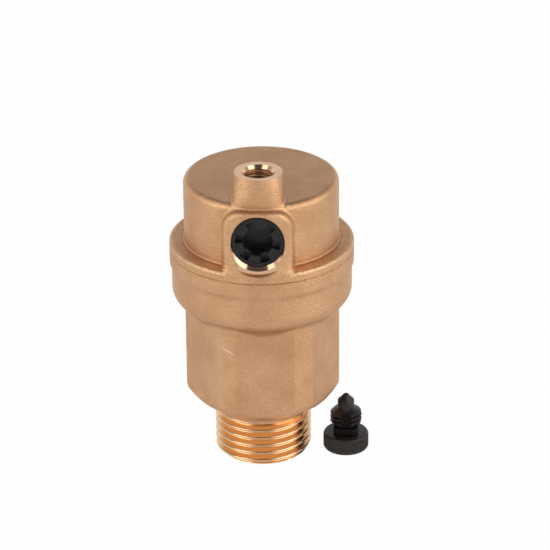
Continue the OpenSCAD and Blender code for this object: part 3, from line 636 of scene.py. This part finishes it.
vent_crest_r = tap_r + VENT_DEPTH
vent_radii, vent_heights = thread_rows(vent_thread_z, boss_top_z + BEYOND, VENT_PITCH, vent_crest_r, VENT_DEPTH,
                                       VENT_COLUMNS, half_angle=30)
vent_mouth = vent_heights[:, None] - (boss_top_z - VENT_CHAMFER)
vent_radii = np.where(vent_mouth > 0, tap_r + VENT_LEAN * vent_mouth, vent_radii)
vent_below = [(vent_port_r, side_bore_z), (vent_port_r, seat_z), (vent_pin_r, seat_z + vent_pin_r - vent_port_r),
              (vent_pin_r, vent_thread_z)]
vent = ring_piece("vent_hole", *stack_rings(vent_below, vent_radii, vent_heights, []))
machine(cover, place(vent, Matrix.Translation((0, -boss_y * MM, 0))))

pin_hole = turned("pin_hole", [(pin_r, -ear_out - BEYOND), (pin_r, ear_out + BEYOND)], PIN_COLUMNS)
machine(cover, place(pin_hole, along_pivot))
print("cover faces:", len(cover.data.polygons))

# %% [markdown]
# Cast skin and machined faces
#
# The field itself knows which faces a tool has touched: a point of the cast skin lies where the field is zero, and a
# machined one lies below it. Only the parting groove and the spot face's wall keep the cast finish. The same field
# also tells edges from corners. A step inwards from an edge comes out too near the other side, and a step outwards
# from a corner does too. That difference is kept on the points as relief. The brass makes edges lighter with it,
# partly as wear and partly as a painted highlight, and makes corners darker with painted shade. The cone above the
# hexagon's flats gets more painted shade still. On machined points the relief says how deep the point lies in the
# inlet thread, or that it lies in the vent hole.

# %% Skin and relief
RELIEF_STEP = 0.9
SKIN_DEPTH = 0.03
GROOVE_REACH, SPOT_MARGIN = 0.35, 0.05
DEEP_IN_HOLE, VENT_LENGTH = -2.0, 8.0
# CONE_PAINTED_SHADE is the strength of the painted shade on the cone above the hexagon's flats.
CONE_PAINTED_SHADE, CONE_FADE, CONE_OVERLAP = 0.5, 0.4, 0.2


def cone_painted_shade(points):
    """How much painted shade the body gets on the cone above the hexagon's flats."""
    x, y, z = points.T
    return np.where(z < collar_z + CONE_OVERLAP, CONE_PAINTED_SHADE * np.clip(off_flats(x, y) / CONE_FADE, 0, 1), 0)


def read_mm(items, name):
    values = np.empty(len(items) * 3, np.float32)
    items.foreach_get(name, values)
    return values.reshape(-1, 3) / MM


def mark_casting(piece, field, turned_below=0.0, painted_shade=None):
    mesh = piece.data
    points = read_mm(mesh.vertices, "co")
    slope = gradient(field, points)
    normal = slope / np.maximum(np.linalg.norm(slope, axis=1, keepdims=True), 1e-6)
    # How far a point stands out on an edge: the brass turns this into wear and a painted highlight.
    wear_and_highlight = 1 + field(*(points - RELIEF_STEP * normal).T) / RELIEF_STEP
    # How far a point lies in a corner: the brass turns this into painted shade.
    corner_shade = 1 - field(*(points + RELIEF_STEP * normal).T) / RELIEF_STEP
    on_skin = np.abs(field(*points.T)) < SKIN_DEPTH
    relief = np.where(on_skin, np.clip(wear_and_highlight, 0, 1) - np.clip(corner_shade, 0, 1), 0)
    thread_depth = np.clip((inlet_r - np.hypot(*points[:, :2].T)) / INLET_DEPTH, 0, 1)
    relief = np.where(points[:, 2] < turned_below, -thread_depth, relief)
    vent_depth = boss_top_z - VENT_CHAMFER - points[:, 2]
    in_vent = (vent_depth > 0) & (vent_depth < VENT_LENGTH)
    in_vent &= np.hypot(points[:, 0], points[:, 1] + boss_y) < vent_crest_r
    relief = np.where(in_vent & ~on_skin, DEEP_IN_HOLE, relief)
    if painted_shade:
        relief = np.where(on_skin, relief - painted_shade(points), relief)
    mesh.attributes.new("relief", "FLOAT", "POINT").data.foreach_set("value", relief.astype(np.float32))
    x, y, z = read_mm(mesh.polygons, "center").T
    cut = (np.abs(field(x, y, z)) > SKIN_DEPTH) | (z < turned_below)
    spot_wall = (np.hypot(x, z - side_bore_z) > spot_r - SPOT_MARGIN) & (y < -spot_y)
    in_groove = (np.abs(z - parting_z) < GROOVE_REACH) & (np.hypot(x, y) > rim_r - GROOVE_REACH)
    cut &= ~(in_groove | spot_wall)
    mesh.polygons.foreach_set("material_index", cut.astype(np.int32))
    print(piece.name, "relief from", round(float(relief.min()), 2), "to", round(float(relief.max()), 2))


# The body's cone above the flats takes extra painted shade.
mark_casting(body, body_field, turned_below=neck_z, painted_shade=cone_painted_shade)
mark_casting(cover, cover_field)
shade(body)
shade(cover)

# %% [markdown]
# Cast brass
#
# A blasted casting is a rough metal with a fine grain. The grain is a small noise in the bump, and the tone wanders
# over a few millimetres as the blasting did. Edges are painted lighter, partly as wear and partly as a painted
# highlight, and corners are painted darker as painted shade. One light scratch lies on the front of the hexagon: it is
# the inside of a long thin ellipsoid. All patterns are in object space, in millimetres, so they stay at one scale on
# every piece.

# %% Cast brass
def new_finish(name):
    print("finish:", name)
    finish = bpy.data.materials.new(name)
    tree = node_tree(finish)
    shader = add_node(tree, "ShaderNodeBsdfPrincipled")
    add_node(tree, "ShaderNodeOutputMaterial", {"Surface": shader.outputs[0]})
    place_mm = add_node(tree, "ShaderNodeVectorMath", {0: add_node(tree, "ShaderNodeTexCoord").outputs["Object"],
                                                       "Scale": 1 / MM}, operation="SCALE").outputs[0]
    return finish, tree, shader, place_mm


def noise(tree, place_mm, per_mm, detail=3.0, rough=0.55):
    return add_node(tree, "ShaderNodeTexNoise", {"Vector": place_mm, "Scale": per_mm, "Detail": detail,
                                                 "Roughness": rough}).outputs["Fac"]


def mix_colour(tree, share, first, second):
    return add_node(tree, "ShaderNodeMix", {0: share, 6: first, 7: second}, data_type="RGBA").outputs[2]


def bump(tree, height, strength, distance_mm):
    return add_node(tree, "ShaderNodeBump", {"Height": height, "Strength": strength,
                                             "Distance": distance_mm * MM}).outputs[0]


def metal(tree, shader, tone, rough, normal):
    set_inputs(tree, shader, {"Base Color": tone, "Metallic": 1.0, "Roughness": rough, "Normal": normal})


CAST_DARK, CAST_LIGHT, CAST_GRAIN = (0.632, 0.366, 0.190, 1), (0.745, 0.452, 0.252, 1), (0.49, 0.27, 0.138, 1)
# CAST_WEAR_AND_HIGHLIGHT is a lighter brass for edges, partly wear and partly a painted highlight; CAST_CORNER_SHADE
# is the painted shade.
CAST_WEAR_AND_HIGHLIGHT, CAST_CORNER_SHADE, CAST_SCRATCHED = (0.90, 0.66, 0.40, 1), (0.40, 0.21, 0.10, 1), (0.95, 0.78, 0.55, 1)
SCRATCH_START, SCRATCH_END = Vector((-8.48, -14.37, 31.43)), Vector((-5.18, -15.87, 29.91))
SCRATCH_HALF_SIZES = (2.0, 0.6, 0.13)
# CORNER_SHADE_SHARE is how strong the painted shade in corners is.
CORNER_SHADE_SHARE, RUBBED_SMOOTHER, PIT_SHARE = 0.55, 0.14, 0.25


def cast_brass_finish():
    finish, tree, shader, place_mm = new_finish("cast_brass")
    patches = spread(tree, noise(tree, place_mm, 0.16), 0.35, 0.65)
    tone = mix_colour(tree, patches, CAST_DARK, CAST_LIGHT)
    grain = noise(tree, place_mm, 3.2, 2.0, 0.6)
    tone = mix_colour(tree, spread(tree, grain, 0.3, 0.7, 0.0, 0.58), tone, CAST_GRAIN)
    relief = add_node(tree, "ShaderNodeAttribute", attribute_name="relief").outputs["Fac"]
    # Edges are painted lighter, partly as wear and partly as a painted highlight.
    wear_and_highlight = spread(tree, relief, 0.06, 0.35)
    # Mask of painted shade in corners and on the cone above the flats.
    corner_shade = spread(tree, relief, -0.05, -0.5)
    tone = mix_colour(tree, wear_and_highlight, tone, CAST_WEAR_AND_HIGHLIGHT)
    along = (SCRATCH_END - SCRATCH_START).to_track_quat("X", "Z").to_euler()
    in_scratch = add_node(tree, "ShaderNodeMapping", {
        "Vector": place_mm, "Location": (SCRATCH_START + SCRATCH_END) / 2, "Rotation": along,
        "Scale": SCRATCH_HALF_SIZES}, vector_type="TEXTURE").outputs[0]
    off_scratch = add_node(tree, "ShaderNodeVectorMath", {0: in_scratch}, operation="LENGTH").outputs["Value"]
    tone = mix_colour(tree, spread(tree, off_scratch, 1.1, 0.6, 0.0, 0.8), tone, CAST_SCRATCHED)
    # Painted shade: corners and the cone above the flats are painted a darker brown.
    tone = mix_colour(tree, math_node(tree, "MULTIPLY", corner_shade, CORNER_SHADE_SHARE), tone, CAST_CORNER_SHADE)
    rough = spread(tree, grain, 0.25, 0.75, 0.40, 0.56)
    rough = math_node(tree, "SUBTRACT", rough, math_node(tree, "MULTIPLY", wear_and_highlight, RUBBED_SMOOTHER))
    pits = add_node(tree, "ShaderNodeTexVoronoi", {"Vector": place_mm, "Scale": 1.6, "Randomness": 1.0})
    height = math_node(tree, "ADD", grain, math_node(tree, "MULTIPLY", pits.outputs["Distance"], PIT_SHARE))
    metal(tree, shader, tone, rough, bump(tree, height, 0.9, 0.13))
    return finish


cast_brass = cast_brass_finish()

# %% [markdown]
# Machined brass
#
# Fresh cut brass is paler and much smoother. The tool leaves rings finer than a tenth of a millimetre, which spread a
# highlight across the cut. They are drawn as thin noise stretched round the axis, by feeding the distance from the
# axis and the height to the noise in place of the plain position. Light that bounces from flank to flank in a thread
# takes up more of the brass's colour each time. This is painted into the colour: the thread is painted a deeper orange
# as painted bounce light, and the vent hole is painted brown as painted shade.

# %% Machined brass
TURNED_PALE, TURNED_STAINED, TURNED_MARKS = (0.75, 0.495, 0.322, 1), (0.70, 0.44, 0.275, 1), (0.62, 0.38, 0.22, 1)
# THREAD_PAINTED_BOUNCE is painted bounce light in the thread; HOLE_PAINTED_SHADE is painted shade inside the vent
# hole.
THREAD_PAINTED_BOUNCE, HOLE_PAINTED_SHADE = (0.86, 0.52, 0.255, 1), (0.56, 0.31, 0.16, 1)
HOLE_ROUGHER, THREAD_ROUGHER = 0.2, 0.08


def turned_brass_finish():
    finish, tree, shader, place_mm = new_finish("turned_brass")
    parts = add_node(tree, "ShaderNodeSeparateXYZ", {0: place_mm})
    square = math_node(tree, "ADD", math_node(tree, "MULTIPLY", parts.outputs[0], parts.outputs[0]),
                       math_node(tree, "MULTIPLY", parts.outputs[1], parts.outputs[1]))
    rings = add_node(tree, "ShaderNodeCombineXYZ", {0: math_node(tree, "SQRT", square), 1: parts.outputs[2]})
    marks = noise(tree, rings.outputs[0], 6.0, 2.0)
    stain = spread(tree, noise(tree, place_mm, 0.35), 0.35, 0.7)
    tone = mix_colour(tree, stain, TURNED_PALE, TURNED_STAINED)
    tone = mix_colour(tree, spread(tree, marks, 0.4, 0.7, 0.0, 0.3), tone, TURNED_MARKS)
    relief = add_node(tree, "ShaderNodeAttribute", attribute_name="relief").outputs["Fac"]
    # Painted bounce light: the thread is painted a deeper orange.
    threaded = spread(tree, relief, 0.0, -0.4)
    tone = mix_colour(tree, threaded, tone, THREAD_PAINTED_BOUNCE)
    # Painted shade: deep in the vent hole the colour is painted brown.
    deep = spread(tree, relief, -1.2, -1.9)
    tone = mix_colour(tree, deep, tone, HOLE_PAINTED_SHADE)
    rough = spread(tree, marks, 0.3, 0.7, 0.08, 0.16)
    rough = math_node(tree, "ADD", rough, math_node(tree, "MULTIPLY", deep, HOLE_ROUGHER))
    rough = math_node(tree, "ADD", rough, math_node(tree, "MULTIPLY", threaded, THREAD_ROUGHER))
    metal(tree, shader, tone, rough, bump(tree, marks, 0.06, 0.02))
    return finish


turned_brass = turned_brass_finish()

# %% [markdown]
# Black plastic
#
# The insert and the vent screw are moulded in black glass-filled plastic: a deep warm black with a satin skin, fine
# mould texture and slightly greyer patches where it has been handled. The screw's neck and slot are painted a darker,
# duller black as painted shade. One function makes every moulded finish, from a cloud of two tones and a fine skin.

# %% Black plastic
def moulded_finish(name, deep, worn, cloud_per_mm, skin_per_mm, roughness, bump_strength, bump_mm, sockets=None,
                   cloud_span=(0.3, 0.7)):
    finish, tree, shader, place_mm = new_finish(name)
    cloud = spread(tree, noise(tree, place_mm, cloud_per_mm), *cloud_span)
    skin = noise(tree, place_mm, skin_per_mm, 2.0)
    set_inputs(tree, shader, {"Base Color": mix_colour(tree, cloud, deep, worn), **(sockets or {}),
                              "Roughness": spread(tree, skin, 0.3, 0.7, *roughness),
                              "Normal": bump(tree, skin, bump_strength, bump_mm)})
    return finish


def black_plastic_finish(name, deep, worn, shine=0.38):
    return moulded_finish(name, deep, worn, 0.5, 5.0, (0.34, 0.5), 0.25, 0.04, {"Specular IOR Level": shine})


screw_black = black_plastic_finish("screw_black", (0.0125, 0.0082, 0.0072, 1), (0.0205, 0.0135, 0.012, 1))
# slot_black is painted shade for the screw's neck and slots: a darker, less shiny black.
slot_black = black_plastic_finish("slot_black", (0.002, 0.0014, 0.0013, 1), (0.004, 0.0028, 0.0026, 1), shine=0.12)
insert_black = black_plastic_finish("insert_black", (0.005, 0.004, 0.0038, 1), (0.009, 0.0072, 0.007, 1))

# %% [markdown]
# Rubber, steel and float plastic
#
# These finishes are on the working parts inside. Seal rubber is matt with a faint bloom, the lever and the wires are
# bright drawn steel with fine scratches, and the float is milky unpigmented plastic.

# %% Inner finishes
def stainless_finish():
    finish, tree, shader, place_mm = new_finish("stainless_steel")
    drawn = add_node(tree, "ShaderNodeMapping", {"Vector": place_mm, "Scale": (0.6, 9.0, 9.0)}).outputs[0]
    lines = noise(tree, drawn, 1.0, 3.0)
    tone = mix_colour(tree, spread(tree, lines, 0.35, 0.7), (0.66, 0.66, 0.665, 1), (0.52, 0.525, 0.53, 1))
    rough = spread(tree, lines, 0.3, 0.7, 0.2, 0.34)
    metal(tree, shader, tone, rough, bump(tree, lines, 0.1, 0.02))
    return finish


stainless = stainless_finish()
seal_rubber = moulded_finish("seal_rubber", (0.012, 0.012, 0.013, 1), (0.03, 0.03, 0.032, 1), 0.8, 6.0, (0.6, 0.78),
                             0.2, 0.03, cloud_span=(0.35, 0.75))
float_plastic = moulded_finish("float_plastic", (0.74, 0.73, 0.66, 1), (0.80, 0.79, 0.73, 1), 0.12, 2.5, (0.38, 0.52),
                               0.15, 0.05, {"Subsurface Weight": 0.15, "Subsurface Radius": (0.003, 0.003, 0.0025)})

# %% Finish and seat the castings
def seat(piece, node, body_name, slot_name, *finishes):
    """The piece stands for a CAD node, moves with its body and takes the finishes given; slot_name is not used."""
    for finish in finishes:
        piece.data.materials.append(finish)
    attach(piece, body_name)
    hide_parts(node)


seat(body, "valve_body", "valve", "cast_brass", cast_brass, turned_brass)
seat(cover, "cover", "valve", "cast_brass", cast_brass, turned_brass)

# %% [markdown]
# Valve insert
#
# A black plug with a key socket in its head: six teeth point inwards from a thin rim, with a notch between each two.
# The head is a little narrower than the plug behind it, so that it passes the lip of the bore. Moulded edges are
# slightly round and catch a thin line of light, so this is a field too, at a finer step.

# %% Insert
INSERT_EDGE, INSERT_GRID = 0.12, 0.12
socket_r, socket_depth, teeth_below = 3.2, 4.2, 0.2
head_gap, spigot_gap, spigot_overlap = 0.06, 0.02, 0.5
insert_head_r = lip_r - head_gap
notch_r, notch_depth, notch_count, notch_share = 4.75, 1.5, 6, 0.42
notch_half = math.radians(notch_share * 360 / notch_count / 2)
notch_first = math.radians(-70)
groove_rows = [(13.96, 1.3, 4.55), (9.26, 1.3, 4.55), (boss_y, 2.4, 4.4)]
spigot_y = -insert_high.y
channel_r, nozzle_hole_r, nozzle_hole_len = 0.7, 2.0, 2.0


def insert_field(x, y, z):
    forward = -y
    up = z - side_bore_z
    out = np.hypot(x, up)
    plug = common(out - insert_r, between(forward, stop_y, insert_y - head_len), INSERT_EDGE)
    head = common(out - insert_head_r, between(forward, stop_y, insert_y), INSERT_EDGE)
    spigot = np.maximum(out - spigot_r + spigot_gap, between(forward, spigot_y, stop_y + spigot_overlap))
    plug = np.minimum(np.minimum(plug, head), spigot)
    socket = np.maximum(out - socket_r, insert_y - socket_depth - forward)
    angle = np.arctan2(up, x)
    pitch = 2 * math.pi / notch_count
    from_notch = abs((angle - notch_first + pitch / 2) % pitch - pitch / 2) - notch_half
    notch = np.maximum(np.maximum(out * np.sin(np.clip(from_notch, -1.5, 1.5)), out - notch_r),
                       insert_y - notch_depth - forward)
    teeth_face = np.maximum(out - notch_r, insert_y - teeth_below - forward)
    plug = common(plug, -join(np.minimum(socket, teeth_face), notch, INSERT_EDGE), INSERT_EDGE)
    for centre, width, floor_r in groove_rows:
        plug = np.maximum(plug, -np.maximum(abs(forward - centre) - width / 2, floor_r - out))
    channel = np.maximum(out - channel_r, forward - boss_y - channel_r)
    nozzle_hole = np.maximum(out - nozzle_hole_r, forward - spigot_y - nozzle_hole_len)
    cross_hole = np.hypot(x, forward - boss_y) - channel_r
    return np.maximum(plug, -np.minimum(np.minimum(channel, nozzle_hole), cross_hole))


insert = field_piece("insert", insert_field, (-insert_r, -insert_y, insert_low.z),
                     (insert_r, -spigot_y, insert_high.z), INSERT_GRID)
shade(insert)
seat(insert, "valve_insert", "valve", "black_plastic", insert_black)
print("insert faces:", len(insert.data.polygons))

# %% [markdown]
# Vent screw
#
# It stands on its head: a ribbed head, a square neck, a thread with a wide air slot down its front and back, a pin and
# a cone. All of it is rings about one axis, with ribs, neck, thread and slots written into the radii. The faces of the
# neck and the slots take the second material, a darker black that is painted shade.

# %% Vent screw
SCREW_COLUMNS = 448
RIBS, RIB_DEPTH = 56, 0.13
screw_head_r = (screw_high.x - screw_low.x) / 2
head_h, shank_h, neck_h = 3.7, 5.4, 1.9
head_edge, head_dish, row_gap = 0.35, 0.9, 0.05
screw_thread_r, screw_core_r = 3.45, 2.66
slot_half, slot_depth = 1.15, 0.15
run_in_slope, run_out_slope, run_out_rise = 1.2, 1.4, 0.35
neck_half_x, neck_half_y, neck_corner_r, neck_fillet_h = 2.66, 2.95, 3.4, 0.06
pin_rings = [(1.965, 0.2), (1.815, 0.3), (1.815, 2.35), (1.735, 2.5)]
tip_rings = [(0.86, 0.6), (0.72, 0.36), (0.5, 0.15), (0.25, 0.04), (0.1, 0.0)]
thin_row, dark_margin = 0.02, 0.04
screw_neck_z = head_h + neck_h
pin_z = head_h + shank_h
tip_z = screw_high.z - screw_low.z
angles = ring_angles(SCREW_COLUMNS)
sine, cosine = np.abs(np.sin(angles)), np.abs(np.cos(angles))
ribbed = screw_head_r - RIB_DEPTH * (0.5 - 0.5 * np.cos(RIBS * angles)) ** 0.8
flat_r = screw_head_r - head_edge - RIB_DEPTH
edge_rings = [(np.minimum(ribbed, flat_r + head_edge * math.sin(turn)), head_edge * (1 - math.cos(turn)))
              for turn in np.linspace(0.2, math.pi / 2, 5)]
neck_ring = np.minimum(neck_half_x / np.maximum(cosine, 0.1), neck_half_y / np.maximum(sine, 0.1))
neck_ring = np.minimum(neck_ring, neck_corner_r)

screw_rows = [(screw_head_r - head_dish, 0.0), (flat_r, row_gap)] + edge_rings
screw_rows += [(ribbed, z) for z in np.linspace(head_edge + row_gap, head_h - head_edge - row_gap, 6)]
screw_rows += [(row, head_h - drop) for row, drop in reversed(edge_rings)]
screw_rows += [(flat_r, head_h), (screw_core_r + neck_fillet_h, head_h), (neck_ring, head_h + neck_fillet_h),
               (neck_ring, screw_neck_z), (screw_core_r, screw_neck_z + thin_row)]
crest, crest_heights = thread_rows(screw_neck_z + 2 * thin_row, pin_z, VENT_PITCH, screw_thread_r,
                                   screw_thread_r - screw_core_r, SCREW_COLUMNS, half_angle=20)
run_in = screw_core_r + (crest_heights - screw_neck_z)[:, None] * run_in_slope
run_out = screw_core_r + run_out_rise + (pin_z - crest_heights)[:, None] * run_out_slope
crest = np.minimum(np.minimum(crest, run_in), run_out)
slot_floor = (screw_core_r - slot_depth) / np.maximum(sine, 0.3)
crest = np.where(cosine * screw_thread_r < slot_half, np.minimum(crest, slot_floor), crest)
screw_rows += list(zip(crest, crest_heights))
screw_rows += [(radius, pin_z + rise) for radius, rise in pin_rings]
screw_rows += [(radius, tip_z - drop) for radius, drop in tip_rings]
screw_radii = np.array([np.broadcast_to(row, SCREW_COLUMNS) for row, _ in screw_rows])
screw = ring_piece("screw", screw_radii, [float(level) for _, level in screw_rows])
# Faces of the neck and the slots take the second material, which paints their shade.
for face in screw.data.polygons:
    spot = face.center / MM
    in_neck = head_h + row_gap < spot.z < screw_neck_z + row_gap
    in_slot = head_h < spot.z < pin_z and math.hypot(spot.x, spot.y) < screw_core_r + dark_margin
    face.material_index = int(in_neck or in_slot)
middle = (screw_low + screw_high) / 2
place(screw, Matrix.Translation(Vector((middle.x, middle.y, screw_low.z)) * MM))
shade(screw, 40)
seat(screw, "vent_screw", "vent_screw", "black_plastic", screw_black, slot_black)
print("screw faces:", len(screw.data.polygons))

# %% [markdown]
# Wire parts
#
# The lever's torsion spring and the float's stirrup are bent from round wire. Each is a curve with a round bevel,
# turned into a mesh.

# %% Spring and link
def wire(name, path_mm, radius_mm):
    curve = bpy.data.curves.new(name, "CURVE")
    curve.dimensions = "3D"
    curve.bevel_depth = radius_mm * MM
    curve.bevel_resolution = 4
    curve.use_fill_caps = True
    spline = curve.splines.new("POLY")
    spline.points.add(len(path_mm) - 1)
    for point, spot in zip(spline.points, path_mm):
        point.co = (*(Vector(spot) * MM), 1)
    bent = add_object(name, curve)
    mesh = bpy.data.meshes.new_from_object(bent.evaluated_get(bpy.context.evaluated_depsgraph_get()))
    mesh.materials.clear()
    bpy.data.objects.remove(bent)
    piece = add_object(name, mesh)
    shade(piece, 50)
    return piece


COIL_POINTS, BEND_POINTS = 240, 12
spring_wire_r, coil_r = 0.225, 1.325
coil_pitch, coil_turns, leg_turn, high_leg = 0.6, 4, 28.11, 7.3
spring_low, _ = box_mm("lever_spring")
coil_first, coil_last = math.radians(-90), math.radians(coil_turns * 360 - leg_turn)
coil_half = coil_pitch * (coil_last - coil_first) / (4 * math.pi)
low_leg = -pivot_y - spring_low.y - spring_wire_r
turns = np.linspace(coil_first, coil_last, COIL_POINTS)
coil = list(zip(np.linspace(-coil_half, coil_half, COIL_POINTS), coil_r * np.cos(turns), coil_r * np.sin(turns)))
leg_end = (coil_half, coil[-1][1] - high_leg * math.sin(coil_last), coil[-1][2] + high_leg * math.cos(coil_last))
spring_path = [(-coil_half, -low_leg, -coil_r)] + coil + [leg_end]
spring = wire("spring", [(x, y - pivot_y, z + pivot_z) for x, y, z in spring_path], spring_wire_r)
seat(spring, "lever_spring", "valve", "stainless_steel", stainless)

link_low, link_high = box_mm("float_link")
link_wire_r = (link_high.y - link_low.y) / 2
link_y = (link_low.y + link_high.y) / 2
link_x, link_bar_z = link_high.x - link_wire_r, link_high.z - link_wire_r
bend_inside = 0.3
bend_r = link_wire_r + bend_inside
bend = [(link_x - bend_r + bend_r * math.cos(a), link_y, link_bar_z - bend_r + bend_r * math.sin(a))
        for a in np.linspace(0, math.pi / 2, BEND_POINTS)]
half_link = [(link_x, link_y, link_low.z)] + bend
link = wire("link", half_link + [(-x, y, z) for x, y, z in reversed(half_link)], link_wire_r)
seat(link, "float_link", "float", "stainless_steel", stainless)
print("wire faces:", len(spring.data.polygons) + len(link.data.polygons))

# %% [markdown]
# Pieces that keep their CAD shape
#
# O-rings, the nozzle, the lever, its pin and clips, the seal pad and the float are simple pieces whose CAD meshes are
# right. They only need their finish.

# %% Finish the other pieces
plain_pieces = {
    seal_rubber: ["cover_o_ring", "insert_front_o_ring", "insert_rear_o_ring", "seal_pad"],
    turned_brass: ["valve_nozzle"],
    stainless: ["float_lever", "lever_pin", "pin_clips"],
    float_plastic: ["float_shell", "float_base"],
}
for finish, names in plain_pieces.items():
    for name in names:
        node = frame["nodes"][name]
        for holder in node.material_slots:
            holder.material = finish
        print(name, "gets", finish.name)
